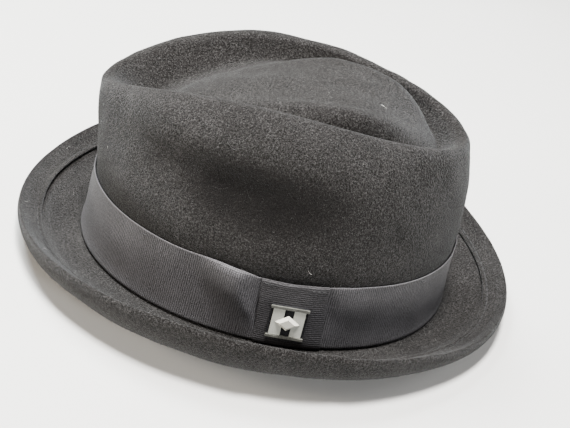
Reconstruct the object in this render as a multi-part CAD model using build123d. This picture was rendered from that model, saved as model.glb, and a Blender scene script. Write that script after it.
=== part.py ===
from build123d import *
import os
from dataclasses import astuple, dataclass, replace
from math import cos, dist, radians, sin

# A stingy-brim wool felt hat with a teardrop crown, a ribbon band, a ribbon tab and a metal pin.
# Millimetres. +Z is up, the front of the hat is toward -Y and the wearer's right is toward -X.
# The origin is on the table, under the middle of the hat. A turn of 0 degrees is the front,
# 90 the wearer's left, 180 the back and 270 the wearer's right.

# ---- driving dimensions ----
FELT = 2.6                  # thickness of the felt
RIBBON = 0.8                # thickness of the hat band, and of the tab
BAND_GAP = 0.7              # room between the band and the tab, where the pin's prongs lie
TAB_TURN = 287.2            # where the tab's middle line crosses the band
TAB_WIDTH = 34.0
TAB_LEAN = 0.9              # degrees of turn that its top edge lies behind, and its foot ahead
TAB_LOW = 0.02              # its lower and upper edge, as a share of the way up the band
TAB_TOP = 1.0
PIN_SIZE = 19.0             # the pin is a square plate
PIN_PLATE = 0.8             # thickness of the plate
PIN_HEIGHT_SHARE = 0.393    # how far up the band the middle of the pin sits
PIN_BACK = 1.4              # how far behind the tab's middle line the pin sits
PIN_TILT = 0.8              # degrees that the pin leans in its own plane
SWEATBAND = 0.9             # thickness of the sweatband
SWEATBAND_GAP = 0.4         # between the felt and the sweatband
SWEATBAND_LOW = -0.15       # lower and upper edge, as a share of the way up the wall
SWEATBAND_TOP = 0.85
REED = 0.6                  # radius of the cord in the sweatband's lower edge
THREAD = 0.22               # radius of the sewing thread
WELT_STITCHES = 150         # round the brim
SWEAT_STITCHES = 110        # round the sweatband
BAND_TACKS = 8
ZIGZAG = 9                  # stitches that hold the seam tape
LABEL_WIDTH = 16.0
LABEL_HEIGHT = 22.0
LABEL_THICK = 0.5
LABEL_GAP = 0.95            # from the sweatband to the back of the label, at its middle
RING_POINTS = 24            # points in each closed curve round the hat

# ---- the pin's own pieces: width, height and depth ----
PANEL = (5.8, 15.2, 0.5)    # the two light panels
STRIPE = (4.6, 15.2, 0.35)  # the dark stripe between them
RAIL = (PIN_SIZE + 0.4, 1.4, 0.9)
RAIL_Y = (PIN_SIZE - RAIL[1]) / 2 - 0.3
STUD = (12.8, 8.8, 1.3)
STUD_FACE = 0.6             # its flat face, as a share of its foot
PRONG_X = 6.0
PRONG_LEG = (0.35, 1.8, 1.5)
PRONG_FOOT = (3.6, 1.8, 0.3)
PRONG_SLOT = (0.75, 2.6, 6.0)


@dataclass(frozen=True)
class Ring:
    """A closed curve round the hat: an oval that rises and dips as it goes round."""
    length: float           # half of its length, front to back
    width: float            # half of its width
    height: float           # its middle height
    slope: float = 0.0      # how much higher the front is than the middle
    dip: float = 0.0        # how much higher the sides are, and lower the front and back
    sway: float = 0.0       # a third wave, which lifts the front and the two back quarters
    egg: float = 0.0        # how much narrower the front half is
    back: float = 0.0       # shift toward the back
    lean: float = 0.0       # degrees from straight up to the way the outer face looks

    def point(self, turn):
        a = radians(turn)
        x = self.width * sin(a) * (1 - self.egg * cos(a))
        y = self.back - self.length * cos(a)
        z = self.height + self.slope * cos(a) - self.dip * cos(2 * a) + self.sway * cos(3 * a)
        return Vector(x, y, z)


# ---- the block's profile, from the crown's middle out and down to the brim's edge ----
CROWN = [
    Ring(1.5, 1.0, 116.2, back=-16),
    Ring(20.0, 9.0, 115.2, slope=2.5, dip=0.8, sway=-0.3, egg=-0.10, back=-15),
    Ring(45.0, 20.0, 110.8, slope=6.5, dip=4.0, sway=-1.2, egg=-0.18, back=-10, lean=5),
    Ring(66.0, 29.0, 104.7, slope=10.0, dip=8.5, sway=-2.0, egg=-0.22, back=-5, lean=15),
    Ring(71.5, 32.0, 100.7, slope=9.5, dip=9.5, sway=-1.5, egg=-0.20, back=-4, lean=10),
    Ring(79.0, 35.2, 96.7, slope=8.0, dip=9.6, sway=0.5, egg=-0.10, back=-1, lean=-10),
    Ring(87.0, 38.3, 101.2, slope=7.0, dip=9.7, sway=1.2, egg=-0.03, back=2, lean=-40),
    Ring(92.5, 40.5, 105.1, slope=6.6, dip=9.8, sway=1.4, egg=0.02, back=3.5, lean=-25),
    Ring(96.5, 44.0, 106.4, slope=6.6, dip=9.7, sway=1.4, egg=0.04, back=3.6),
    Ring(99.3, 51.0, 104.1, slope=6.2, dip=8.6, sway=1.2, egg=0.04, back=3.8, lean=35),
    Ring(100.6, 62.5, 96.2, slope=5.0, dip=6.0, sway=1.0, egg=0.04, back=3.0, lean=60),
    Ring(101.6, 73.5, 82.2, slope=3.2, dip=3.0, sway=0.5, egg=0.03, back=1.0, lean=78),
    Ring(102.2, 78.0, 65.2, slope=1.8, dip=2.0, egg=0.02, back=-0.8, lean=86),
]
WALL_TOP = Ring(102.4, 81.0, 46.2, dip=2.5, back=-1.6, lean=88)
WALL_FOOT = Ring(103.25, 83.6, 18.0, dip=3.1, back=-0.75, lean=86)
WALL_LOW = Ring(103.4, 84.0, 13.2, dip=3.2, back=-0.6, lean=85)
BREAK = Ring(105.5, 87.0, 7.2, dip=3.4, lean=45)
BRIM = [
    Ring(113.0, 93.5, 6.4, dip=3.8),
    Ring(124.0, 103.0, 9.2, dip=4.8, egg=0.02),
    Ring(129.5, 107.2, 12.6, dip=5.6, egg=0.03),
]
# the brim's edge is folded over on top and sewn down: a step up, then the rolled edge
WELT = [
    Ring(129.5, 107.2, 14.8, dip=5.8, egg=0.03),
    Ring(136.0, 111.5, 18.6, dip=7.4, egg=0.03),
    Ring(140.4, 113.8, 22.6, dip=8.6, egg=0.04),
    Ring(142.2, 116.0, 22.4, dip=8.6, egg=0.04),
]
BRIM_UNDER = [
    Ring(141.8, 117.4, 16.8, dip=7.0, egg=0.04),
    Ring(137.0, 114.6, 9.6, dip=5.4, egg=0.03),
    Ring(127.0, 105.5, 5.6, dip=4.4, egg=0.02),
]
# the outer face of the hat band, which stands off the felt at its lower edge
BAND_LOW = Ring(106.9, 88.6, 7.8, dip=3.4)
BAND_TOP = Ring(103.5, 82.2, 44.9, dip=2.65, back=-1.6)


# ---- rings and the solids made from them ----

def grow(ring, amount):
    """The ring moved outward by an amount."""
    return replace(ring, length=ring.length + amount, width=ring.width + amount)


def mix(first, second, share):
    """The ring that lies a share of the way from the first to the second."""
    return Ring(*(a + (b - a) * share for a, b in zip(astuple(first), astuple(second))))


def under(ring):
    """The ring on the felt's inner face, one thickness behind the outer ring."""
    inset = FELT * sin(radians(ring.lean))
    drop = FELT * cos(radians(ring.lean))
    return replace(grow(ring, -inset), height=ring.height - drop)


def spacing(first, second):
    return dist((first.length, first.width, first.height), (second.length, second.width, second.height))


def bend(before, start, end, after, share):
    """A ring on the smooth profile curve through four rings, between the middle two."""
    gap = spacing(start, end)
    values = []
    for p, q, r, s in zip(astuple(before), astuple(start), astuple(end), astuple(after)):
        run = (r - q) / gap
        lead = run if before == start else mean_slope(q - p, spacing(before, start), r - q, gap)
        tail = run if after == end else mean_slope(r - q, gap, s - r, spacing(end, after))
        u = share
        values.append((2 * u**3 - 3 * u**2 + 1) * q + (u**3 - 2 * u**2 + u) * lead * gap
                      + (3 * u**2 - 2 * u**3) * r + (u**3 - u**2) * tail * gap)
    return Ring(*values)


def mean_slope(rise_in, gap_in, rise_out, gap_out):
    """The slope where two spans meet, nearer to the shorter span's."""
    return (rise_out / gap_out * gap_in + rise_in / gap_in * gap_out) / (gap_in + gap_out)


def refine(rings, steps):
    """The same profile with more rings, on a smooth curve through the given ones."""
    padded = [rings[0], *rings, rings[-1]]
    fine = []
    for i in range(len(rings) - 1):
        fine += [bend(*padded[i:i + 4], step / steps) for step in range(steps)]
    return fine + [rings[-1]]


def curve(ring):
    points = [ring.point(360 * i / RING_POINTS) for i in range(RING_POINTS)]
    marks = [i / RING_POINTS for i in range(RING_POINTS + 1)]
    return Edge.make_spline(points, periodic=True, parameters=marks)


def hoop(rings):
    """A closed hoop round the hat, whose cross-section has a corner at each ring."""
    curves = [curve(ring) for ring in rings]
    faces = [Face.make_surface_from_curves(a, b) for a, b in zip(curves, curves[1:] + curves[:1])]
    return Solid(Shell(faces))


def patch(low, top, turn, width, inner, outer, lean=0.0):
    """A strip that lies along the wall between two rings, from an inner to an outer offset.
    Its foot is turned on, and its top back, by the lean."""
    middle = mix(low, top, 0.5)
    reach = dist(middle.point(turn - 1), middle.point(turn + 1)) / 2
    half = width / 2 / reach
    sections = []
    for step in range(-2, 3):
        at = turn + half * step / 2
        foot, head = grow(low, inner).point(at + lean), grow(top, inner).point(at - lean)
        out = grow(low, outer).point(at) - grow(low, inner).point(at)
        sections.append(Wire.make_polygon([foot, foot + out, head + out, head]))
    return Solid.make_loft(sections, ruled=True)


def rod(start, end, radius):
    """A straight length of thread between two points."""
    return Solid.make_cylinder(radius, (end - start).length, Plane(start, z_dir=end - start))


def stitches(ring, count, length, first=0.0):
    """Evenly spaced stitches along a ring."""
    pitch = 360 / count
    made = []
    for i in range(count):
        at = first + i * pitch
        step = length / 2 / (dist(ring.point(at - 1), ring.point(at + 1)) / 2)
        made.append(rod(ring.point(at - step), ring.point(at + step), THREAD))
    return Compound(children=made)


def block(size, at):
    """A block centred on a point of the current local frame."""
    return Pos(*at) * Box(*size)


# ---- the felt ----

def felt_body():
    wall = [WALL_TOP, WALL_FOOT, WALL_LOW, BREAK]
    outer = refine(CROWN + wall + BRIM, 3)
    edge = refine(WELT + BRIM_UNDER + [under(BRIM[0]), under(BREAK)], 2)
    inner = refine([under(ring) for ring in wall[::-1] + CROWN[::-1]], 2)
    return Solid.make_loft([Wire([curve(ring)]) for ring in outer + edge[:-1] + inner], ruled=True)


def welt_stitching():
    line = mix(WELT[0], WELT[1], 0.35)
    return stitches(replace(line, height=line.height + THREAD), WELT_STITCHES, 3.2)


# ---- the ribbon outside ----

def hat_band():
    return hoop([grow(BAND_LOW, -RIBBON), BAND_LOW, BAND_TOP, grow(BAND_TOP, -RIBBON)])


def band_tab():
    low = mix(BAND_LOW, BAND_TOP, TAB_LOW)
    top = mix(BAND_LOW, BAND_TOP, TAB_TOP)
    tab = patch(low, top, TAB_TURN, TAB_WIDTH, BAND_GAP, BAND_GAP + RIBBON, TAB_LEAN)
    slots = [pin_frame() * block(PRONG_SLOT, (x, 0, 0)) for x in (-PRONG_X, PRONG_X)]
    return tab - slots[0] - slots[1]


def tab_stitching():
    """Two short rows of stitches that hold the tab's sides near the band's top edge."""
    line = grow(mix(BAND_LOW, BAND_TOP, 0.93), BAND_GAP + RIBBON + THREAD)
    middle = TAB_TURN - TAB_LEAN * 0.86
    reach = dist(line.point(middle - 1), line.point(middle + 1)) / 2
    made = []
    for side in (-1, 1):
        for offset in (9.0, 11.8, 14.6):
            ends = [middle + (side * offset + half) / reach for half in (-0.8, 0.8)]
            made.append(rod(line.point(ends[0]), line.point(ends[1]), THREAD))
    return Compound(children=made)


def band_tacks():
    """Tacks that hold the band's upper edge to the felt, spread round the hat."""
    line = grow(mix(BAND_LOW, BAND_TOP, 0.93), THREAD + 0.05)
    return stitches(line, BAND_TACKS, 2.4, first=15)


# ---- the metal pin ----

def pin_frame():
    """The pin's own frame: x along the band toward the front, y up the band, z outward."""
    surface = mix(BAND_LOW, BAND_TOP, PIN_HEIGHT_SHARE)
    reach = dist(surface.point(TAB_TURN - 1), surface.point(TAB_TURN + 1)) / 2
    turn = TAB_TURN - PIN_BACK / reach
    along = surface.point(turn + 1) - surface.point(turn - 1)
    rise = BAND_TOP.point(turn) - BAND_LOW.point(turn)
    out = along.cross(rise).normalized()
    stand = BAND_GAP + RIBBON + 0.08
    plane = Plane(surface.point(turn) + out * stand, x_dir=along, z_dir=out)
    return Location(plane) * Rot(0, 0, -PIN_TILT)


def pin_plate():
    plate = block((PIN_SIZE, PIN_SIZE, PIN_PLATE), (0, 0, PIN_PLATE / 2))
    return pin_frame() * fillet(plate.edges().filter_by(Axis.Z), 0.6)


def on_plate(size, x, y):
    """A block that lies on the plate's face, with its four upright edges eased."""
    piece = block(size, (x, y, PIN_PLATE + size[2] / 2))
    return pin_frame() * fillet(piece.edges().filter_by(Axis.Z), 0.25)


def pin_panel(side):
    return on_plate(PANEL, side * (STRIPE[0] + PANEL[0] + 0.2) / 2, 0)


def pin_stud():
    """A plain lozenge with sloping sides that rests on the two panels."""
    levels = []
    for share, up in ((1.0, 0.0), (STUD_FACE, STUD[2])):
        x, y, z = STUD[0] / 2 * share, STUD[1] / 2 * share, PIN_PLATE + PANEL[2] + up
        levels.append(Wire.make_polygon([Vector(*at, z) for at in ((x, 0), (0, y), (-x, 0), (0, -y))]))
    return pin_frame() * Solid.make_loft(levels, ruled=True)


def pin_prongs():
    """Two legs that pass through the tab and are bent in behind it."""
    made = []
    foot_x = PRONG_X - (PRONG_FOOT[0] - PRONG_LEG[0]) / 2
    for side in (-1, 1):
        leg = block(PRONG_LEG, (side * PRONG_X, 0, -PRONG_LEG[2] / 2))
        foot = block(PRONG_FOOT, (side * foot_x, 0, -PRONG_LEG[2] + PRONG_FOOT[2] / 2))
        made.append(pin_frame() * (leg + foot))
    return Compound(children=[solid for prong in made for solid in prong.solids()])


# ---- inside the hat ----

def inside(share, depth):
    """A ring inside the wall, a share of the way up it and a depth in from the felt's inner face."""
    return grow(mix(WALL_LOW, WALL_TOP, share), -FELT - depth)


FACE = SWEATBAND_GAP + SWEATBAND      # depth of the sweatband's inner face
SEAM_TURN = 90.0
LABEL_TURN = 180.0


def sweatband():
    shares = (SWEATBAND_LOW, SWEATBAND_TOP)
    back = [inside(share, SWEATBAND_GAP) for share in shares]
    face = [inside(share, FACE) for share in shares]
    return hoop([back[0], back[1], face[1], face[0]])


def sweatband_reed():
    """The round cord under the sweatband's lower edge, which is eight-sided here."""
    middle = inside(SWEATBAND_LOW, SWEATBAND_GAP + SWEATBAND / 2)
    middle = replace(middle, height=middle.height - REED - 0.05)
    rings = []
    for step in range(8):
        a = radians(45 * step)
        rings.append(replace(grow(middle, REED * cos(a)), height=middle.height + REED * sin(a)))
    return hoop(rings)


def sweatband_stitching():
    return stitches(inside(SWEATBAND_LOW + 0.09, FACE + THREAD), SWEAT_STITCHES, 3.4)


def sweatband_seam_tape():
    """The tape over the joint of the sweatband's two ends."""
    low, top = inside(SWEATBAND_LOW + 0.15, 0), inside(SWEATBAND_TOP - 0.02, 0)
    return patch(low, top, SEAM_TURN, 9.0, -FACE - 0.5, -FACE - 0.05)


def seam_thread():
    """The zigzag that sews the tape down."""
    made = []
    for i in range(ZIGZAG):
        low = SWEATBAND_LOW + 0.18 + i * 0.082
        start = inside(low, FACE + 0.5 + THREAD).point(SEAM_TURN - 1.2 * (-1) ** i)
        end = inside(low + 0.06, FACE + 0.5 + THREAD).point(SEAM_TURN + 1.2 * (-1) ** i)
        made.append(rod(start, end, THREAD))
    return Compound(children=made)


def wall_frame(turn, share, depth):
    """A frame on the inside of the wall: x along it, y up it, z into the hat."""
    here = inside(share, depth)
    along = here.point(turn - 1) - here.point(turn + 1)
    rise = inside(share + 0.5, depth).point(turn) - here.point(turn)
    return Location(Plane(here.point(turn), x_dir=along, z_dir=along.cross(rise)))


def sweatband_bow():
    """A small flat bow at the foot of the seam: two loops, two tails and a knot."""
    place = wall_frame(SEAM_TURN, SWEATBAND_LOW + 0.09, FACE + 1.2)
    knot = fillet(block((3.0, 3.6, 2.2), (0, 0, 1.1)).edges(), 0.6)
    made = [place * knot]
    for side in (-1, 1):
        loop = fillet(block((7.0, 5.0, 1.6), (side * 5.1, 0.3, 0.9)).edges(), 0.6)
        tail = block((2.6, 0.4, 0.8), (side * 2.9, -2.6, 0.9))
        made += [place * loop, place * tail]
    return Compound(children=[solid for piece in made for solid in piece.solids()])


def size_label():
    """A folded satin label, sewn in by its lower edge, that lies up against the sweatband."""
    place = wall_frame(LABEL_TURN, SWEATBAND_LOW + 0.16, FACE + LABEL_GAP)
    label = block((LABEL_WIDTH, LABEL_HEIGHT, LABEL_THICK), (0, LABEL_HEIGHT / 2, LABEL_THICK / 2))
    return place * label


PARTS = {
    "felt_body": felt_body,
    "welt_stitching": welt_stitching,
    "hat_band": hat_band,
    "band_tab": band_tab,
    "tab_stitching": tab_stitching,
    "band_tacks": band_tacks,
    "pin_plate": pin_plate,
    "pin_left_panel": lambda: pin_panel(-1),
    "pin_right_panel": lambda: pin_panel(1),
    "pin_centre_stripe": lambda: on_plate(STRIPE, 0, 0),
    "pin_top_rail": lambda: on_plate(RAIL, 0, RAIL_Y),
    "pin_bottom_rail": lambda: on_plate(RAIL, 0, -RAIL_Y),
    "pin_stud": pin_stud,
    "pin_prongs": pin_prongs,
    "sweatband": sweatband,
    "sweatband_reed": sweatband_reed,
    "sweatband_stitching": sweatband_stitching,
    "sweatband_seam_tape": sweatband_seam_tape,
    "seam_thread": seam_thread,
    "sweatband_bow": sweatband_bow,
    "size_label": size_label,
}

os.makedirs("parts", exist_ok=True)
for name, make in PARTS.items():
    export_step(make(), f"parts/{name}.step")
hinge = wall_frame(LABEL_TURN, SWEATBAND_LOW + 0.16, FACE + LABEL_GAP).position
print("label hinge", hinge)
print("pin middle", pin_frame().position)
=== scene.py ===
import math
import bmesh
import bpy
import numpy as np
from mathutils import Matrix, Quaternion, Vector


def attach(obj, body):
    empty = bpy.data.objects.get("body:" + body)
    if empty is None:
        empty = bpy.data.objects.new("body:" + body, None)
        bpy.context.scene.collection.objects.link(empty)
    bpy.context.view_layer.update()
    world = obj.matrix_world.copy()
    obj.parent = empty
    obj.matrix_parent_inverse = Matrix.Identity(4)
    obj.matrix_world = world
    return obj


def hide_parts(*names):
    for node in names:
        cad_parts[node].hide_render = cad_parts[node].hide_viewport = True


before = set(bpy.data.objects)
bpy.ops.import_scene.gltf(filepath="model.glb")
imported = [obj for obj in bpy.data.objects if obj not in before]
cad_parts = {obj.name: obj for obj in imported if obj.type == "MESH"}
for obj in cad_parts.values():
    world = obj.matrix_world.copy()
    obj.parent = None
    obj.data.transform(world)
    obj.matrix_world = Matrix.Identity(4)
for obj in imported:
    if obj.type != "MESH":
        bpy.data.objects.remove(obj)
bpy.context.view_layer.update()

# The looks of a black wool felt trilby. Shapes are worked out in millimetres, in the CAD frame,
# and turned into metres when a mesh is made. Turn 0 is the front, 180 the back and 270 the
# wearer's right, which faces the camera.
MM = 0.001
scene = bpy.context.scene


def link(thing):
    scene.collection.objects.link(thing)
    return thing


# ---- camera ----
CAMERA_AZIMUTH, CAMERA_ELEVATION, CAMERA_ROLL = -83.37, 35.37, 12.08
CAMERA_AIM, CAMERA_DISTANCE = Vector((0.0010, -0.0086, 0.0277)), 0.5512
CAMERA_LENS = 61.05
az, el = math.radians(CAMERA_AZIMUTH), math.radians(CAMERA_ELEVATION)
back = Vector((math.sin(az) * math.cos(el), -math.cos(az) * math.cos(el), math.sin(el)))
camera = link(bpy.data.objects.new("camera", bpy.data.cameras.new("camera")))
camera.location = CAMERA_AIM + back * CAMERA_DISTANCE
camera.rotation_mode = "QUATERNION"
roll = Quaternion((0, 0, 1), math.radians(CAMERA_ROLL))
camera.rotation_quaternion = (-back).to_track_quat("-Z", "Y") @ roll
camera.data.lens = CAMERA_LENS
camera.data.sensor_width = 36
camera.data.clip_start = 0.01
scene.camera = camera


# ---- light: name, place, where it points, watts, size and colour ----
def lamp(name, place, aim, energy, size, color=(1, 1, 1)):
    data = bpy.data.lights.new(name, "AREA")
    data.energy, data.size, data.color = energy, size, color
    light = link(bpy.data.objects.new(name, data))
    light.location = place
    light.rotation_mode = "QUATERNION"
    light.rotation_quaternion = (Vector(aim) - Vector(place)).to_track_quat("-Z", "Y")


lamp("key_light", (0.38, 0.48, 1.0), (0, 0, 0.05), 36, 0.45, (0.92, 0.975, 1.0))
lamp("overhead_light", (-0.04, 0.02, 1.25), (0, 0, 0.05), 66, 0.26, (1.0, 0.99, 0.97))
lamp("left_light", (-0.4, 1.05, 0.42), (0, 0, 0.05), 14, 0.4, (1.0, 0.91, 0.79))
lamp("edge_light", (0.5, -1.0, 0.45), (0, 0, 0.05), 4, 0.4)
lamp("front_light", (-0.75, -0.7, 0.5), (0, 0, 0.03), 5.5, 0.2, (0.97, 0.98, 1.0))


# ---- materials ----
# the felt's grain: noise scales, in waves to the metre
CLUMP_SCALE, FIBRE_SCALE, CLOUD_SCALE, CURL_SCALE = 1050, 3400, 38, 900
LINE_SHARPNESS = 6.0
THREAD_PITCH = 0.55  # a ribbon's cross threads, as a share of its ribs' pitch
# painted shade: a darker patch in the felt's colour over the dent on the wearer's right, standing for the
# shade there; its middle and radii in metres, then how far it darkens the grain
PAINTED_SHADE_MIDDLE = (-0.084, -0.004, 0.083)
PAINTED_SHADE_RADII = (0.045, 0.072, 0.025)
PAINTED_SHADE_DEPTH = 0.19


def add(tree, kind, settings=None, inputs=None):
    made = tree.nodes.new(kind)
    for key, value in (settings or {}).items():
        setattr(made, key, value)
    for key, value in (inputs or {}).items():
        made.inputs[key].default_value = value
    return made


def material(name, **sockets):
    """A material whose shader has these values on its own sockets."""
    made = bpy.data.materials.new(name)
    made.use_nodes = True
    shader = made.node_tree.nodes["Principled BSDF"]
    for key, value in sockets.items():
        shader.inputs[key.replace("_", " ")].default_value = value
    return made, made.node_tree, shader


def noise_at(tree, vector, scale, detail=2.0, roughness=0.5):
    made = add(tree, "ShaderNodeTexNoise", None, {"Scale": scale, "Detail": detail, "Roughness": roughness})
    tree.links.new(vector, made.inputs["Vector"])
    return made.outputs["Fac"]


def maths(tree, operation, first, second=None, clamp=False):
    made = add(tree, "ShaderNodeMath", {"operation": operation, "use_clamp": clamp})
    for i, value in enumerate((first, second)):
        if isinstance(value, (int, float)):
            made.inputs[i].default_value = value
        elif value is not None:
            tree.links.new(value, made.inputs[i])
    return made.outputs[0]


def ramp(tree, value, stops):
    made = add(tree, "ShaderNodeValToRGB")
    while len(made.color_ramp.elements) < len(stops):
        made.color_ramp.elements.new(1.0)
    for element, (place, color) in zip(made.color_ramp.elements, stops):
        element.position = place
        element.color = (*color, 1)
    tree.links.new(value, made.inputs["Fac"])
    return made.outputs["Color"]


def bumped(tree, shader, height, strength, distance):
    made = add(tree, "ShaderNodeBump", None, {"Strength": strength, "Distance": distance})
    tree.links.new(height, made.inputs["Height"])
    tree.links.new(made.outputs["Normal"], shader.inputs["Normal"])


def coordinates(tree, which="Object"):
    return add(tree, "ShaderNodeTexCoord").outputs[which]


def blend(tree, *parts):
    """The sum of values, each times its weight."""
    total = None
    for value, weight in parts:
        part = maths(tree, "MULTIPLY", value, weight)
        total = part if total is None else maths(tree, "ADD", total, part)
    return total


def curls_at(tree, where, scale):
    """Thin winding lines, as matted wool shows."""
    bands = maths(tree, "ABSOLUTE", maths(tree, "SUBTRACT", noise_at(tree, where, scale, 2, 0.5), 0.5))
    return maths(tree, "SUBTRACT", 1.0, maths(tree, "MULTIPLY", bands, LINE_SHARPNESS), True)


def painted_shade_spot(tree, where, middle, radii):
    """Where the shade is painted: 1 at the middle of an ellipsoid, fading to 0 at its edge."""
    place = add(tree, "ShaderNodeMapping", {"vector_type": "TEXTURE"}, {"Location": middle, "Scale": radii})
    tree.links.new(where, place.inputs["Vector"])
    painted_shade = add(tree, "ShaderNodeTexGradient", {"gradient_type": "SPHERICAL"})
    tree.links.new(place.outputs["Vector"], painted_shade.inputs["Vector"])
    soft = add(tree, "ShaderNodeMapRange", {"interpolation_type": "SMOOTHSTEP"})
    tree.links.new(painted_shade.outputs["Fac"], soft.inputs["Value"])
    return soft.outputs["Result"]


def felt_material(name, dark, mid, light, nap=1.0):
    made, tree, shader = material(name, Roughness=0.95, Sheen_Weight=0.10, Sheen_Roughness=0.4,
                                  Sheen_Tint=(0.92, 0.96, 1.0, 1), Specular_IOR_Level=0.12)
    where = coordinates(tree)
    clumps = noise_at(tree, where, CLUMP_SCALE, 3, 0.65)
    fibres = noise_at(tree, where, FIBRE_SCALE, 2, 0.6)
    clouds = noise_at(tree, where, CLOUD_SCALE, 3, 0.55)
    curls = curls_at(tree, where, CURL_SCALE)
    mixed = blend(tree, (clumps, 0.42), (fibres, 0.38), (clouds, 0.08), (curls, 0.10))
    # painted shade: inside the ellipsoid the felt's colour, and its nap's, is made darker
    painted_shade = painted_shade_spot(tree, where, PAINTED_SHADE_MIDDLE, PAINTED_SHADE_RADII)
    mixed = maths(tree, "SUBTRACT", mixed, maths(tree, "MULTIPLY", painted_shade, PAINTED_SHADE_DEPTH))
    color = ramp(tree, mixed, [(0.36, dark), (0.5, mid), (0.66, light)])
    tree.links.new(color, shader.inputs["Base Color"])
    bumped(tree, shader, blend(tree, (clumps, 0.6), (fibres, 0.4), (curls, 0.25)), nap, 0.0009)
    return made


def ribbon_material(name, along, across, pitch, dark, light, edge=0.0, sheen=0.05, rough=0.6):
    """Grosgrain: ribs a pitch apart along one texture axis, crossed by fine threads.

    Above the height edge, in metres, the colour is lighter: a painted highlight along the ribbon's upper
    edge."""
    made, tree, shader = material(name, Roughness=rough, Sheen_Weight=sheen, Sheen_Roughness=0.35,
                                  Sheen_Tint=(0.92, 0.95, 1.0, 1), Specular_IOR_Level=0.3)
    uv = coordinates(tree, "UV")
    split = add(tree, "ShaderNodeSeparateXYZ")
    tree.links.new(uv, split.inputs[0])
    wobble = maths(tree, "MULTIPLY", noise_at(tree, coordinates(tree), 420, 2), 0.0010)
    run = maths(tree, "ADD", split.outputs[along], wobble)
    ribs = maths(tree, "SINE", maths(tree, "MULTIPLY", run, 2 * math.pi / pitch))
    thread_wave = 2 * math.pi / (pitch * THREAD_PITCH)
    threads = maths(tree, "SINE", maths(tree, "MULTIPLY", split.outputs[across], thread_wave))
    weave = blend(tree, (ribs, 0.5), (threads, 0.22))
    weave = maths(tree, "ADD", maths(tree, "MULTIPLY", weave, 0.5), 0.5)
    wear = noise_at(tree, coordinates(tree), 60, 3)
    fine = noise_at(tree, coordinates(tree), 1500, 2, 0.7)
    tone = blend(tree, (weave, 0.34), (wear, 0.14), (fine, 0.52))
    if edge:
        # painted highlight: the colour is made lighter along the upper edge
        edge_highlight = maths(tree, "GREATER_THAN", split.outputs[1], edge)
        tone = maths(tree, "ADD", tone, maths(tree, "MULTIPLY", edge_highlight, 0.16), True)
    color = ramp(tree, tone, [(0.36, dark), (0.66, light), (0.95, tuple(1.6 * v for v in light))])
    tree.links.new(color, shader.inputs["Base Color"])
    bumped(tree, shader, maths(tree, "ADD", weave, fine), 0.8, 0.00035)
    return made


def thread_material(name, dark, light):
    made, tree, shader = material(name, Roughness=0.75, Sheen_Weight=0.12, Sheen_Roughness=0.4)
    where = coordinates(tree)
    twist = noise_at(tree, where, 2600, 2)
    tree.links.new(ramp(tree, twist, [(0.35, dark), (0.65, light)]), shader.inputs["Base Color"])
    bumped(tree, shader, twist, 0.5, 0.0001)
    return made


def metal_material(name, dark, light, metallic, rough, grain):
    """Brushed metal: streaks along the pin's height, with faint smudges."""
    made, tree, shader = material(name, Metallic=metallic)
    where = coordinates(tree)
    stretch = add(tree, "ShaderNodeMapping", None, {"Scale": (1.0, 1.0, 0.06)})
    tree.links.new(where, stretch.inputs["Vector"])
    streaks = noise_at(tree, stretch.outputs["Vector"], 5200, 2)
    smudges = noise_at(tree, where, 260, 3)
    tone = blend(tree, (streaks, 0.6), (smudges, 0.4))
    tree.links.new(ramp(tree, tone, [(0.3, dark), (0.7, light)]), shader.inputs["Base Color"])
    gloss = maths(tree, "ADD", maths(tree, "MULTIPLY", smudges, grain), rough)
    tree.links.new(gloss, shader.inputs["Roughness"])
    bumped(tree, shader, streaks, 0.15, 0.00005)
    return made


HAIR_NAP = 0.2
FELT = felt_material("black_wool_felt",
                     (0.002, 0.0015, 0.0012), (0.011, 0.0098, 0.009), (0.068, 0.0645, 0.063))
NAP_DARK = felt_material("felt_nap_dark",
                         (0.008, 0.006, 0.005), (0.02, 0.017, 0.015), (0.05, 0.045, 0.04), HAIR_NAP)
NAP_LIGHT = felt_material("felt_nap_light",
                          (0.06, 0.058, 0.057), (0.12, 0.117, 0.115), (0.22, 0.216, 0.212), HAIR_NAP)
LINT = felt_material("pale_lint", (0.45, 0.44, 0.42), (0.6, 0.59, 0.56), (0.75, 0.74, 0.72), HAIR_NAP)
# the second number is how high on the band, in metres, the painted highlight along its upper edge begins
RIB_PITCH, EDGE_HIGHLIGHT_FROM = 0.00115, 0.0368
RIBBON = ribbon_material("black_grosgrain_ribbon", 0, 1, RIB_PITCH,
                         (0.008, 0.0075, 0.008), (0.088, 0.084, 0.089), EDGE_HIGHLIGHT_FROM)
# painted shade: the tab is the band's own ribbon, given a darker colour than the band
SHADED_TAB_RIBBON = ribbon_material("black_grosgrain_tab", 1, 0, RIB_PITCH,
                      (0.008, 0.0072, 0.0075), (0.06, 0.057, 0.061))
CLOTH = ribbon_material("sweatband_cloth", 1, 0, 0.0016,
                        (0.025, 0.024, 0.026), (0.10, 0.098, 0.102), rough=0.8)
SATIN = ribbon_material("label_satin", 0, 1, 0.0007, (0.04, 0.04, 0.044), (0.11, 0.11, 0.118), rough=0.3)
THREAD = thread_material("black_thread", (0.006, 0.006, 0.0065), (0.03, 0.03, 0.032))
GREY_THREAD = thread_material("sweatband_thread", (0.06, 0.06, 0.064), (0.17, 0.17, 0.18))
STEEL = metal_material("satin_steel", (0.66, 0.67, 0.59), (0.90, 0.90, 0.80), 0.3, 0.28, 0.25)
RAIL_STEEL = metal_material("shaded_steel", (0.10, 0.10, 0.09), (0.36, 0.36, 0.32), 0.5, 0.22, 0.25)
POLISHED = metal_material("polished_steel", (0.92, 0.89, 0.76), (1.0, 0.98, 0.88), 0.2, 0.15, 0.15)
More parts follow.
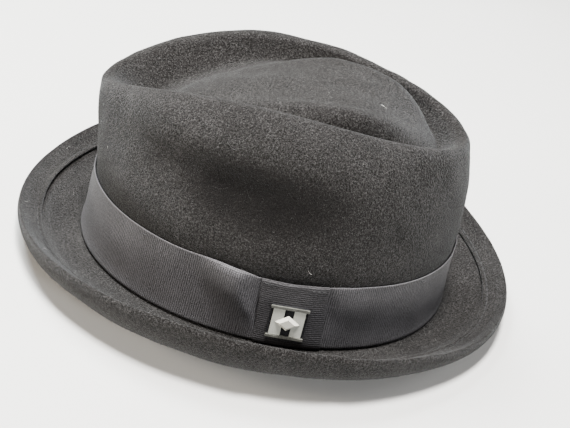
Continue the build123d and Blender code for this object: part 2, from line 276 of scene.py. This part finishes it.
ENAMEL = metal_material("black_enamel", (0.008, 0.008, 0.009), (0.03, 0.03, 0.033), 0.0, 0.12, 0.15)


# ---- floor and backdrop ----
FLOOR = 1.4  # from the middle to each side, in metres
FLOOR_FADE = (0.35, 1.3)  # where the floor begins and ends to fade out, in metres from the middle
FLOOR_LEVEL = -0.0005
BACKDROP_SEEN, BACKDROP_GIVEN = 2.6, 0.10


def floor_material():
    """Pale, fading out into the backdrop."""
    made, tree, shader = material("pale_floor", Roughness=0.7, Specular_IOR_Level=0.2)
    tone = noise_at(tree, coordinates(tree), 3, 2)
    tree.links.new(ramp(tree, tone, [(0.3, (0.66, 0.65, 0.625)), (0.7, (0.70, 0.69, 0.665))]),
                   shader.inputs["Base Color"])
    far = add(tree, "ShaderNodeVectorMath", {"operation": "LENGTH"})
    tree.links.new(coordinates(tree), far.inputs[0])
    fade = add(tree, "ShaderNodeMapRange", {"interpolation_type": "SMOOTHSTEP"},
               {"From Min": FLOOR_FADE[0], "From Max": FLOOR_FADE[1]})
    tree.links.new(far.outputs["Value"], fade.inputs["Value"])
    mixed = add(tree, "ShaderNodeMixShader")
    tree.links.new(fade.outputs["Result"], mixed.inputs["Fac"])
    tree.links.new(shader.outputs["BSDF"], mixed.inputs[1])
    tree.links.new(add(tree, "ShaderNodeBsdfTransparent").outputs["BSDF"], mixed.inputs[2])
    tree.links.new(mixed.outputs["Shader"], tree.nodes["Material Output"].inputs["Surface"])
    return made


def backdrop(seen, given):
    """A pale backdrop: bright where the camera sees it, and giving less light than it shows."""
    world = bpy.data.worlds.new("studio")
    scene.world = world
    world.use_nodes = True
    tree = world.node_tree
    path = add(tree, "ShaderNodeLightPath")
    level = maths(tree, "ADD", maths(tree, "MULTIPLY", path.outputs["Is Camera Ray"], seen - given), given)
    tree.nodes["Background"].inputs["Color"].default_value = (1.0, 0.99, 0.97, 1)
    tree.links.new(level, tree.nodes["Background"].inputs["Strength"])


backdrop(BACKDROP_SEEN, BACKDROP_GIVEN)
floor_mesh = bpy.data.meshes.new("floor")
floor_corners = [(-FLOOR, -FLOOR, 0), (FLOOR, -FLOOR, 0), (FLOOR, FLOOR, 0), (-FLOOR, FLOOR, 0)]
floor_mesh.from_pydata(floor_corners, [], [(0, 1, 2, 3)])
floor_mesh.materials.append(floor_material())
floor = link(bpy.data.objects.new("floor", floor_mesh))
floor.location.z = FLOOR_LEVEL


# ---- meshes ----
def mesh_object(name, verts, faces, surface, uv=None):
    """A mesh from points in millimetres. uv holds two numbers, in metres, for each face corner."""
    data = bpy.data.meshes.new(name)
    data.from_pydata((np.asarray(verts) * MM).tolist(), [], list(faces))
    if uv is not None:
        data.uv_layers.new(name="weave").data.foreach_set("uv", np.asarray(uv, np.float32).ravel())
    data.polygons.foreach_set("use_smooth", [True] * len(data.polygons))
    data.materials.append(surface)
    data.update()
    return link(bpy.data.objects.new(name, data))


def grid_faces(rows, columns, around):
    i = np.arange(rows - 1)[:, None] * columns
    j = np.arange(columns if around else columns - 1)[None, :]
    after = (j + 1) % columns
    return np.stack([i + j, i + columns + j, i + columns + after, i + after], -1).reshape(-1, 4)


def grid_object(name, points, surface, around=True, run=None, rise=None):
    """A surface through rows of points, closed round the hat or open, with ribbon coordinates."""
    rows, columns = points.shape[:2]
    uv = None
    if run is not None:
        j = np.arange(columns if around else columns - 1)
        v0, u0 = np.meshgrid(rise[:-1], run[j], indexing="ij")
        v1, u1 = np.meshgrid(rise[1:], run[j + 1], indexing="ij")
        uv = np.stack([u0, v0, u0, v1, u1, v1, u1, v0], -1) * MM
    return mesh_object(name, points.reshape(-1, 3), grid_faces(rows, columns, around), surface, uv)


def solidify(piece, thickness, bevel=0.0, offset=-1):
    """Gives an open surface its thickness: behind the side that it faces, or about its middle at offset 0."""
    solid = piece.modifiers.new("thickness", "SOLIDIFY")
    solid.thickness, solid.offset = thickness * MM, offset
    if bevel:
        edge = piece.modifiers.new("edge", "BEVEL")
        edge.width, edge.segments, edge.limit_method = bevel * MM, 2, "ANGLE"
    return piece


# ---- the rings that the CAD parts are made from ----
def ring(length, width, height, slope=0.0, dip=0.0, sway=0.0, egg=0.0, back=0.0, lean=0.0):
    return np.array([length, width, height, slope, dip, sway, egg, back, lean], float)


CROWN = [
    ring(1.5, 1.0, 116.2, back=-16),
    ring(20.0, 9.0, 115.2, 2.5, 0.8, -0.3, -0.10, -15),
    ring(45.0, 20.0, 110.8, 6.5, 4.0, -1.2, -0.18, -10, 5),
    ring(66.0, 29.0, 104.7, 10.0, 8.5, -2.0, -0.22, -5, 15),
    ring(71.5, 32.0, 100.7, 9.5, 9.5, -1.5, -0.20, -4, 10),
    ring(79.0, 35.2, 96.7, 8.0, 9.6, 0.5, -0.10, -1, -10),
    ring(87.0, 38.3, 101.2, 7.0, 9.7, 1.2, -0.03, 2, -40),
    ring(92.5, 40.5, 105.1, 6.6, 9.8, 1.4, 0.02, 3.5, -25),
    ring(96.5, 44.0, 106.4, 6.6, 9.7, 1.4, 0.04, 3.6),
    ring(99.3, 51.0, 104.1, 6.2, 8.6, 1.2, 0.04, 3.8, 35),
    ring(100.6, 62.5, 96.2, 5.0, 6.0, 1.0, 0.04, 3.0, 60),
    ring(101.6, 73.5, 82.2, 3.2, 3.0, 0.5, 0.03, 1.0, 78),
    ring(102.2, 78.0, 65.2, 1.8, 2.0, 0, 0.02, -0.8, 86),
]
WALL_TOP = ring(102.4, 81.0, 46.2, dip=2.5, back=-1.6, lean=88)
WALL_FOOT = ring(103.25, 83.6, 18.0, dip=3.1, back=-0.75, lean=86)
WALL_LOW = ring(103.4, 84.0, 13.2, dip=3.2, back=-0.6, lean=85)
BREAK = ring(105.5, 87.0, 7.2, dip=3.4, lean=45)
BRIM = [
    ring(113.0, 93.5, 6.4, dip=3.8),
    ring(124.0, 103.0, 9.2, dip=4.8, egg=0.02),
    ring(129.5, 107.2, 12.6, dip=5.6, egg=0.03),
]
# the fold-over: the brim runs in under the lip, and the lip has a rounded edge
UNDER_LIP = ring(131.0, 108.5, 13.3, dip=5.8, egg=0.03)
LIP = [
    ring(130.6, 108.1, 14.1, dip=5.8, egg=0.03),
    ring(129.5, 107.2, 14.6, dip=5.8, egg=0.03),
    ring(129.3, 107.0, 15.2, dip=5.8, egg=0.03),
    ring(130.2, 107.7, 15.9, dip=5.9, egg=0.03),
]
STITCH_LINE = ring(131.9, 108.8, 16.15, dip=6.3, egg=0.03)
EDGE = [
    ring(133.6, 110.0, 17.3, dip=6.8, egg=0.03),
    ring(136.4, 111.7, 19.0, dip=7.5, egg=0.03),
    ring(139.9, 113.7, 22.2, dip=8.5, egg=0.04),
    ring(141.5, 115.1, 23.2, dip=8.6, egg=0.04),
    ring(142.5, 116.6, 21.6, dip=8.5, egg=0.04),
    ring(141.8, 117.4, 16.8, dip=7.0, egg=0.04),
    ring(137.0, 114.6, 9.6, dip=5.4, egg=0.03),
    ring(127.0, 105.5, 5.6, dip=4.4, egg=0.02),
]
BAND_LOW = ring(106.9, 88.6, 7.8, dip=3.4)
BAND_TOP = ring(103.5, 82.2, 44.9, dip=2.65, back=-1.6)
THICK = 2.6
TAB_TURN, TAB_WIDTH, TAB_LEAN = 287.2, 34.0, 0.9


def grow(one, amount):
    more = one.copy()
    more[:2] += amount
    return more


def mix(first, second, share):
    return first + (second - first) * share


def under(one):
    lean = math.radians(one[8])
    less = grow(one, -THICK * math.sin(lean))
    less[2] -= THICK * math.cos(lean)
    return less


def ring_points(one, turns):
    """Points on a ring, in millimetres, for turns in degrees."""
    a = np.radians(turns)
    length, width, height, slope, dip, sway, egg, back, _ = one
    x = width * np.sin(a) * (1 - egg * np.cos(a))
    y = back - length * np.cos(a)
    z = height + slope * np.cos(a) - dip * np.cos(2 * a) + sway * np.cos(3 * a)
    return np.stack([x, y, z], -1)


def refine(rings, steps):
    """More rings, on a smooth profile curve through the given ones."""
    rings = [np.asarray(one) for one in rings]
    gaps = [np.linalg.norm((b - a)[:3]) for a, b in zip(rings, rings[1:])]
    slopes = [(b - a) / gap for a, b, gap in zip(rings, rings[1:], gaps)]
    tangents = [slopes[0]]
    for i in range(1, len(rings) - 1):
        tangents.append((slopes[i] * gaps[i - 1] + slopes[i - 1] * gaps[i]) / (gaps[i - 1] + gaps[i]))
    tangents.append(slopes[-1])
    fine = []
    for i, gap in enumerate(gaps):
        for step in range(steps):
            u = step / steps
            fine.append((2 * u**3 - 3 * u**2 + 1) * rings[i] + (u**3 - 2 * u**2 + u) * tangents[i] * gap
                        + (3 * u**2 - 2 * u**3) * rings[i + 1] + (u**3 - u**2) * tangents[i + 1] * gap)
    return fine + [rings[-1]]


def ripples(points, size, seed, count=20):
    """A smooth random field, about -1 to 1, with bumps of one size in millimetres."""
    draw = np.random.default_rng(seed)
    waves = draw.normal(size=(count, 3))
    waves *= (2 * math.pi / size * draw.uniform(0.6, 1.4, count) / np.linalg.norm(waves, axis=1))[:, None]
    phases = draw.uniform(0, 2 * math.pi, count)
    return np.cos(points @ waves.T + phases).sum(-1) * math.sqrt(1.0 / count)


def hump(value, middle, spread):
    return np.exp(-((value - middle) / spread) ** 2 / 2)


def step_up(value, start, end):
    t = np.clip((value - start) / (end - start), 0, 1)
    return t * t * (3 - 2 * t)


HALF_WIDTH, HALF_LENGTH = 83, 103  # of the crown's wall, in round numbers


def outward(turns):
    """The level direction straight out of the hat's side."""
    a = np.radians(turns)
    flat = np.stack([np.sin(a) / HALF_WIDTH, -np.cos(a) / HALF_LENGTH, np.zeros_like(a)], -1)
    return flat / np.linalg.norm(flat, axis=-1, keepdims=True)


# how the ribbon lies beside the tab: it dives under the tab's edges and stands off next to them
MM_PER_DEGREE = 1.81


def from_tab(turns, share):
    """Distance along the band from the tab's middle line, toward the front."""
    return (turns - TAB_TURN - TAB_LEAN * (1 - 2 * np.clip(share, 0, 1))) * MM_PER_DEGREE


def ribbon_wave(turns, share):
    """How far the band stands out: cinched behind the tab, and bulging beside it before it dives in."""
    d = from_tab(turns, share)
    high = step_up(share, 0.12, 0.8)
    crest = -18.5 - 10.5 * high
    left = step_up(d, crest - 24, crest) * (1 - step_up(d, crest + 0.3, crest + 3.5 + 6 * high))
    wave = (0.8 + 3.7 * high) * left * (1 - 0.75 * step_up(share, 0.93, 1.03))
    right = (1 - step_up(d, 27, 42)) * step_up(d, 18.5, 22.5)
    wave = wave + 0.9 * right * step_up(share, 0.35, 0.75) * (1 - 0.6 * step_up(share, 0.9, 1.03))
    return wave - 0.7 * (1 - step_up(np.abs(d), 16, 21)) * step_up(share, 0.1, 0.4)


def gather(turns):
    """The band's height beside and behind the tab, as a share of its full height."""
    d = from_tab(turns, 1.0)
    return 1 + 0.05 * hump(d, -37, 11) - 0.058 * (1 - step_up(np.abs(d + 2), 15, 26))


def shape_felt(points, turns):
    """Hand-shaping: a soft dent in the near wall, hollows behind the tab, slow unevenness."""
    z = points[..., 2]
    t = np.broadcast_to(turns, z.shape)
    level = outward(t)
    wall = step_up(z, 42, 60) * step_up(-z, -112, -96)
    # each push: how far out, then the turn and the height of its middle, with their spreads
    push = -8.8 * hump(t, 258, 27) * hump(z, 82, 9.5) * wall  # the soft dent
    push += 1.0 * hump(t, 255, 30) * hump(z, 57, 8) * step_up(z, 46, 52)  # the swelling under it
    push += -2.0 * hump(t, 318, 14) * hump(z, 70, 12) * wall  # a hollow beside the front
    push += -2.4 * hump(t, 95, 22) * hump(z, 74, 10) * wall  # a weak dent on the far side
    share = (z - BAND_LOW[2]) / (BAND_TOP[2] - BAND_LOW[2])
    behind = np.minimum(ribbon_wave(t, share), 0) * 1.2 * step_up(-z, -50, -45) * step_up(z, 8, 14)
    slow = ripples(points, 46, 5) * 0.55 + ripples(points, 17, 6) * 0.16
    bare = step_up(z, 50, 62)
    crown = slow * bare
    up = np.array([0, 0, 1.0])
    return points + level * (push + behind + crown * 0.8)[..., None] + up * (crown * 0.5)[..., None]


# ---- the felt ----
COLUMNS = 384
turns = np.arange(COLUMNS) * 360 / COLUMNS
wall = [WALL_TOP, WALL_FOOT, WALL_LOW, BREAK]
outer = refine(CROWN + wall + BRIM + [UNDER_LIP], 7)
lip = refine(LIP + [STITCH_LINE], 3)[:-1]
edge = refine([STITCH_LINE] + EDGE + [under(BRIM[0]), under(BREAK)], 4)
inner = refine([under(one) for one in wall[::-1] + CROWN[::-1]], 3)[1:]
rows = outer + lip + edge + inner
body = np.stack([ring_points(one, turns) for one in rows])
body = shape_felt(body, turns[None, :])
# the rolled edge isn't quite even
first, last = len(outer), len(outer) + len(lip) + len(edge)
rim = body[first:last]
rim[..., 2] += ripples(rim, 60, 9) * 0.55 + ripples(rim, 14, 10) * 0.10
rim += outward(np.broadcast_to(turns, rim.shape[:2])) * (ripples(rim, 75, 11) * 0.35)[..., None]
verts = body.reshape(-1, 3)
faces = grid_faces(len(rows), COLUMNS, True).tolist()
faces.append(list(range(COLUMNS)))
faces.append([(len(rows) - 1) * COLUMNS + j for j in range(COLUMNS)][::-1])
felt = mesh_object("felt_hat", verts, faces, FELT)
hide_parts("felt_body")
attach(felt, "hat")


# ---- the nap: short curled fibres standing on the felt ----
def skin(first_row, last_row):
    """Corners of the triangles that cover the felt between two rows."""
    quads = grid_faces(len(rows), COLUMNS, True).reshape(len(rows) - 1, COLUMNS, 4)
    quads = quads[first_row:last_row].reshape(-1, 4)
    return np.concatenate([verts[quads[:, [0, 1, 2]]], verts[quads[:, [0, 2, 3]]]])


def fibres(name, count, length, width, lift, surface, seed, triangles, curl=0.5):
    """Thin tapered strips, each bent once or twice, strewn evenly over the triangles."""
    draw = np.random.default_rng(seed)
    a, b, c = triangles[:, 0], triangles[:, 1], triangles[:, 2]
    normal = np.cross(b - a, c - a)
    area = np.linalg.norm(normal, axis=1)
    pick = draw.choice(len(area), count, p=area / area.sum())
    u, v = draw.uniform(size=(2, count))
    flip = u + v > 1
    u, v = np.where(flip, 1 - u, u)[:, None], np.where(flip, 1 - v, v)[:, None]
    root = a[pick] + (b - a)[pick] * u + (c - a)[pick] * v
    out = normal[pick] / area[pick][:, None]
    side = np.cross(out, draw.normal(size=(count, 3)))
    side /= np.linalg.norm(side, axis=1)[:, None]
    across = np.cross(out, side)
    size = draw.uniform(*length, size=(count, 1))
    rise = draw.uniform(*lift, size=(count, 1))
    bend = draw.normal(size=(count, 1)) * curl
    steps = np.linspace(0, 1, 5)
    points = []
    for s in steps:
        lifted = rise * size * s * (1.6 - s) - 0.06
        line = root + side * size * s + across * size * bend * s * s + out * lifted
        half = width * (1 - 0.75 * s) / 2
        flat = across * 0.8 + out * 0.6
        points += [line - flat * half, line + flat * half]
    points = np.stack(points, 1)
    k = np.arange(count)[:, None] * 10
    faces = np.concatenate([k + np.array([[2 * s, 2 * s + 1, 2 * s + 3, 2 * s + 2]]) for s in range(4)])
    piece = mesh_object(name, points.reshape(-1, 3), faces, surface)
    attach(piece, "hat")
    return piece


everywhere = skin(6, last - 4)
fibres("felt_nap_dark", 12000, (0.5, 1.3), 0.11, (0.4, 1.1), NAP_DARK, 21, everywhere)
fibres("felt_nap_light", 16000, (0.4, 1.2), 0.085, (0.4, 1.2), NAP_LIGHT, 22, everywhere)
fibres("felt_stray_hairs", 260, (2.5, 5.5), 0.09, (0.05, 0.3), NAP_LIGHT, 23, everywhere, 0.9)
fibres("felt_lint", 46, (1.2, 4.5), 0.12, (0.02, 0.2), LINT, 24, everywhere, 1.0)


# ---- ribbon band ----
def between(low, top, share, turns):
    """Points between two rings, where the share may differ from turn to turn."""
    return ring_points(low[:, None] + (top - low)[:, None] * share, turns)


def ribbon_points(low, top, shares, offsets, turns):
    """Rows of points on the band, from its upper edge down, with how far each row stands out."""
    grid = []
    for share, offset in zip(shares, offsets):
        lifted = share * (1 + (gather(turns) - 1) * step_up(share, 0.2, 1.0))
        line = between(low, top, lifted, turns)
        push = offset + ribbon_wave(turns, share) * step_up(share, -0.02, 0.2)
        calm = step_up(share, 0.02, 0.3) * step_up(1 - share, 0.0, 0.3)
        push = push + ripples(line, 30, 31) * 0.22 * calm
        grid.append(line + outward(turns) * push[:, None])
    return np.stack(grid)


def along(line, closed=True):
    """Distance along a line of points, and back to its start if it is closed."""
    steps = np.linalg.norm(np.roll(line, -1, 0) - line, axis=1)
    return np.concatenate([[0], np.cumsum(steps if closed else steps[:-1])])


BAND_HEIGHT, BAND_COLUMNS = 37.6, 640
shares = np.array([1.0, 0.994, 0.985, 0.972, 0.95, 0.9, 0.82, 0.74, 0.66, 0.58,
                   0.5, 0.42, 0.34, 0.26, 0.18, 0.11, 0.06, 0.03, 0.01, 0.0])
offsets = np.array([-0.10, 0.06, 0.08, 0.02, 0.0, 0, 0, 0, 0, 0,
                    0, 0, 0, 0, 0.05, 0.12, 0.3, 0.5, 0.5, 0.35])
band_turns = np.arange(BAND_COLUMNS) * 360 / BAND_COLUMNS
band_grid = ribbon_points(BAND_LOW, BAND_TOP, shares, offsets, band_turns)
band_run = along(band_grid[len(shares) // 2])
band = grid_object("ribbon_band", band_grid, RIBBON, True, band_run, shares * BAND_HEIGHT)
solidify(band, 0.6)
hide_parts("hat_band")
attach(band, "hat")

# the tab: a length of the same ribbon, folded over the band's upper edge. Each pair is how far up
# the band it lies, as a share, and how far out it stands
TAB_COLUMNS, TAB_OUT = 36, 1.6
tab_path = [(-0.012, 0.5), (0.0, 1.25), (0.02, 1.5), (0.06, TAB_OUT)]
tab_path += [(s, TAB_OUT) for s in np.linspace(0.12, 0.88, 16)]
tab_path += [(0.915, 1.68), (0.945, 1.8), (0.966, 1.72), (0.98, 1.4)]
tab_path += [(0.986, 0.95), (0.982, 0.5), (0.968, 0.1), (0.945, -0.05)]
half_turn = TAB_WIDTH / 2 / MM_PER_DEGREE
tab_rows = []
for share, offset in tab_path[::-1]:
    spread = np.linspace(-half_turn, half_turn, TAB_COLUMNS + 1)
    side = spread / half_turn
    places = TAB_TURN + TAB_LEAN * (1 - 2 * share) + spread
    high = share + 0.011 * share * side
    line = between(BAND_LOW, BAND_TOP, high, places)
    soft = ripples(line, 16, 41) * 0.14 + 0.22 * np.cos(side * math.pi) - 0.25 * side ** 6
    tab_rows.append(line + outward(places) * (offset + soft * step_up(share, 0.02, 0.2))[:, None])
tab_grid = np.stack(tab_rows)
tab_run = np.linspace(0, TAB_WIDTH, TAB_COLUMNS + 1)
tab_rise = along(tab_grid[:, TAB_COLUMNS // 2], closed=False)
tab = grid_object("ribbon_tab", tab_grid, SHADED_TAB_RIBBON, False, tab_run, tab_rise[-1] - tab_rise)
solidify(tab, 0.55, 0.12)
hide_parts("band_tab")
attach(tab, "hat")


# ---- inside the hat ----
def inside(share, depth):
    return grow(mix(WALL_LOW, WALL_TOP, share), -THICK - depth)


SWEAT_LOW, SWEAT_TOP = -0.15, 0.85  # its edges, as shares of the way up the wall
FACE = 1.3  # from the felt to the sweatband's face
SWEAT_HEIGHT, SWEAT_ROWS, SWEAT_COLUMNS = 33, 26, 480
SEAM_TURN, LABEL_TURN = 90.0, 180.0
sweat_shares = np.linspace(SWEAT_LOW, SWEAT_TOP, SWEAT_ROWS)[::-1]
sweat_turns = np.arange(SWEAT_COLUMNS) * -360 / SWEAT_COLUMNS
sweat_grid = np.stack([ring_points(inside(s, FACE), sweat_turns) for s in sweat_shares])
sag = np.abs(ripples(sweat_grid, 34, 51) * 0.14) * hump(sweat_shares, 0.4, 0.2)[:, None]
sweat_grid -= outward(np.broadcast_to(sweat_turns, sag.shape)) * sag[..., None]
sweat = grid_object("sweatband_cloth", sweat_grid, CLOTH, True,
                    along(sweat_grid[SWEAT_ROWS // 2 - 1]), sweat_shares * SWEAT_HEIGHT)
solidify(sweat, 0.7)
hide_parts("sweatband")
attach(sweat, "hat")


def wall_patch(name, low, top, turn, width, depth, surface, thickness, crown=0.15):
    """A strip that lies on the sweatband, slightly domed, facing into the hat."""
    spread = np.linspace(1, -1, 9)
    levels = np.linspace(top, low, 18)
    lines = []
    for s in levels:
        one = inside(s, depth)
        after, before = ring_points(one, np.array([turn + 1.0, turn - 1.0]))
        places = turn + spread * width / 2 / (np.linalg.norm(after - before) / 2)
        lines.append(ring_points(one, places) - outward(places) * (crown * (1 - spread**2))[:, None])
    piece = grid_object(name, np.stack(lines), surface, False, (spread + 1) / 2 * width,
                        levels * SWEAT_HEIGHT)
    solidify(piece, thickness, 0.08)
    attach(piece, "hat")
    return piece


tape = wall_patch("seam_tape", SWEAT_LOW + 0.15, SWEAT_TOP - 0.02, SEAM_TURN, 9.0, FACE + 0.42, CLOTH, 0.3)
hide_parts("sweatband_seam_tape")


def wall_frame(turn, share, depth):
    """Origin and the along, up and inward directions of a place on the inside of the wall."""
    one, above = inside(share, depth), inside(share + 0.5, depth)
    at = np.array([turn, turn - 1.0, turn + 1.0])
    here, before, after = ring_points(one, at)
    x = (before - after) / np.linalg.norm(before - after)
    rise = ring_points(above, at)[0] - here
    z = np.cross(x, rise)
    z /= np.linalg.norm(z)
    return here, x, np.cross(z, x), z


def ribbon_strip(name, path, widths, upright, place, surface, thickness):
    """A strip that follows a path of (along, up, out) points, with widths spread evenly along it.

    Its width runs up the wall if it is upright, and otherwise square to the path in the wall's plane.
    """
    origin, x, y, z = place
    path = np.array(path, float)
    if upright:
        side = np.array([0.0, 1.0, 0.0])
    else:
        run = np.gradient(path, axis=0)
        run /= np.linalg.norm(run, axis=1)[:, None]
        side = np.cross(run, np.array([0.0, 0.0, 1.0]))
    half = np.interp(np.linspace(0, 1, len(path)), np.linspace(0, 1, len(widths)), widths) / 2
    lines = []
    for k in np.linspace(-1, 1, 5):
        local = path + side * (half * k)[:, None]
        lines.append(origin + local @ np.stack([x, y, z]))
    grid = np.stack(lines)
    strip = grid_object(name, grid, surface, False, np.linspace(0, 12, len(path)), np.linspace(0, 5, 5))
    return solidify(strip, thickness, offset=0)


bow_place = wall_frame(SEAM_TURN, SWEAT_LOW + 0.09, FACE + 1.2)
bow_parts = []
for side in (-1, 1):
    loop = [(side * (1.0 + 7.0 * math.sin(math.pi * t)), 0.3, 0.9 + 0.85 * math.cos(math.pi * t))
            for t in np.linspace(0, 1, 15)]
    bow_parts.append(ribbon_strip("bow_loop", loop, [2.4, 4.6, 5.0, 4.6, 2.4], True,
                                  bow_place, RIBBON, 0.2))
    tail = [(side * (1.2 + 2.2 * t), -1.2 - 2.2 * t, 0.9 - 0.2 * t) for t in np.linspace(0, 1, 7)]
    bow_parts.append(ribbon_strip("bow_tail", tail, [1.6, 2.4], False, bow_place, RIBBON, 0.2))
knot = [(1.5 * math.cos(a), 0.0, 0.95 + 0.95 * math.sin(a)) for a in np.linspace(0, 2 * math.pi, 17)]
bow_parts.append(ribbon_strip("bow_knot", knot, [3.4, 3.2, 3.4], True, bow_place, RIBBON, 0.25))
graph = bpy.context.evaluated_depsgraph_get()
pieces = [bpy.data.meshes.new_from_object(part.evaluated_get(graph)) for part in bow_parts]
for part in bow_parts:
    bpy.data.objects.remove(part)
joined = bmesh.new()
for data in pieces:
    joined.from_mesh(data)
bow_mesh = bpy.data.meshes.new("sweatband_ribbon_bow")
joined.to_mesh(bow_mesh)
joined.free()
bow_mesh.materials.append(RIBBON)
bow_mesh.polygons.foreach_set("use_smooth", [True] * len(bow_mesh.polygons))
bow = link(bpy.data.objects.new("sweatband_ribbon_bow", bow_mesh))
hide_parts("sweatband_bow")
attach(bow, "hat")

# the size label: satin folded in half, its fold at the top, sewn in by its lower edge
LABEL_WIDTH, LABEL_HEIGHT = 16.0, 22.0
origin, x, y, z = wall_frame(LABEL_TURN, SWEAT_LOW + 0.16, FACE + 0.95)
path = [(h, 0.06) for h in np.linspace(0, LABEL_HEIGHT - 0.4, 16)]
path += [(LABEL_HEIGHT - 0.1, 0.14), (LABEL_HEIGHT, 0.25), (LABEL_HEIGHT - 0.1, 0.38)]
path += [(h, 0.46 + 0.05 * math.sin(h / 4)) for h in np.linspace(LABEL_HEIGHT - 0.4, 0, 16)]
lines = []
for up, out in path:
    spread = np.linspace(-1, 1, 11) * LABEL_WIDTH / 2
    lines.append(origin + np.outer(spread, x) + y * up + z * out)
grid = np.stack(lines)[:, ::-1]
label = grid_object("folded_size_label", grid, SATIN, False,
                    np.linspace(0, LABEL_WIDTH, 11), along(grid[:, 5], closed=False))
solidify(label, 0.1, offset=0)
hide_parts("size_label")
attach(label, "size_label")


# ---- CAD parts that show as they are: threads and the pin ----
def dress(name, surface, bevel=0.0):
    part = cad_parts[name]
    part.data.materials.clear()
    part.data.materials.append(surface)
    if bevel:
        soft = part.modifiers.new("edge", "BEVEL")
        soft.width, soft.segments, soft.limit_method = bevel * MM, 3, "ANGLE"
        soft.harden_normals = False


for name in ("welt_stitching", "tab_stitching", "band_tacks"):
    dress(name, THREAD)
for name in ("sweatband_reed", "sweatband_stitching", "seam_thread"):
    dress(name, GREY_THREAD)
dress("pin_plate", ENAMEL, 0.15)
dress("pin_centre_stripe", ENAMEL, 0.08)
dress("pin_bottom_rail", RAIL_STEEL, 0.2)
dress("pin_left_panel", STEEL, 0.12)
dress("pin_right_panel", STEEL, 0.12)
dress("pin_top_rail", RAIL_STEEL, 0.2)
dress("pin_stud", POLISHED, 0.25)
dress("pin_prongs", STEEL)
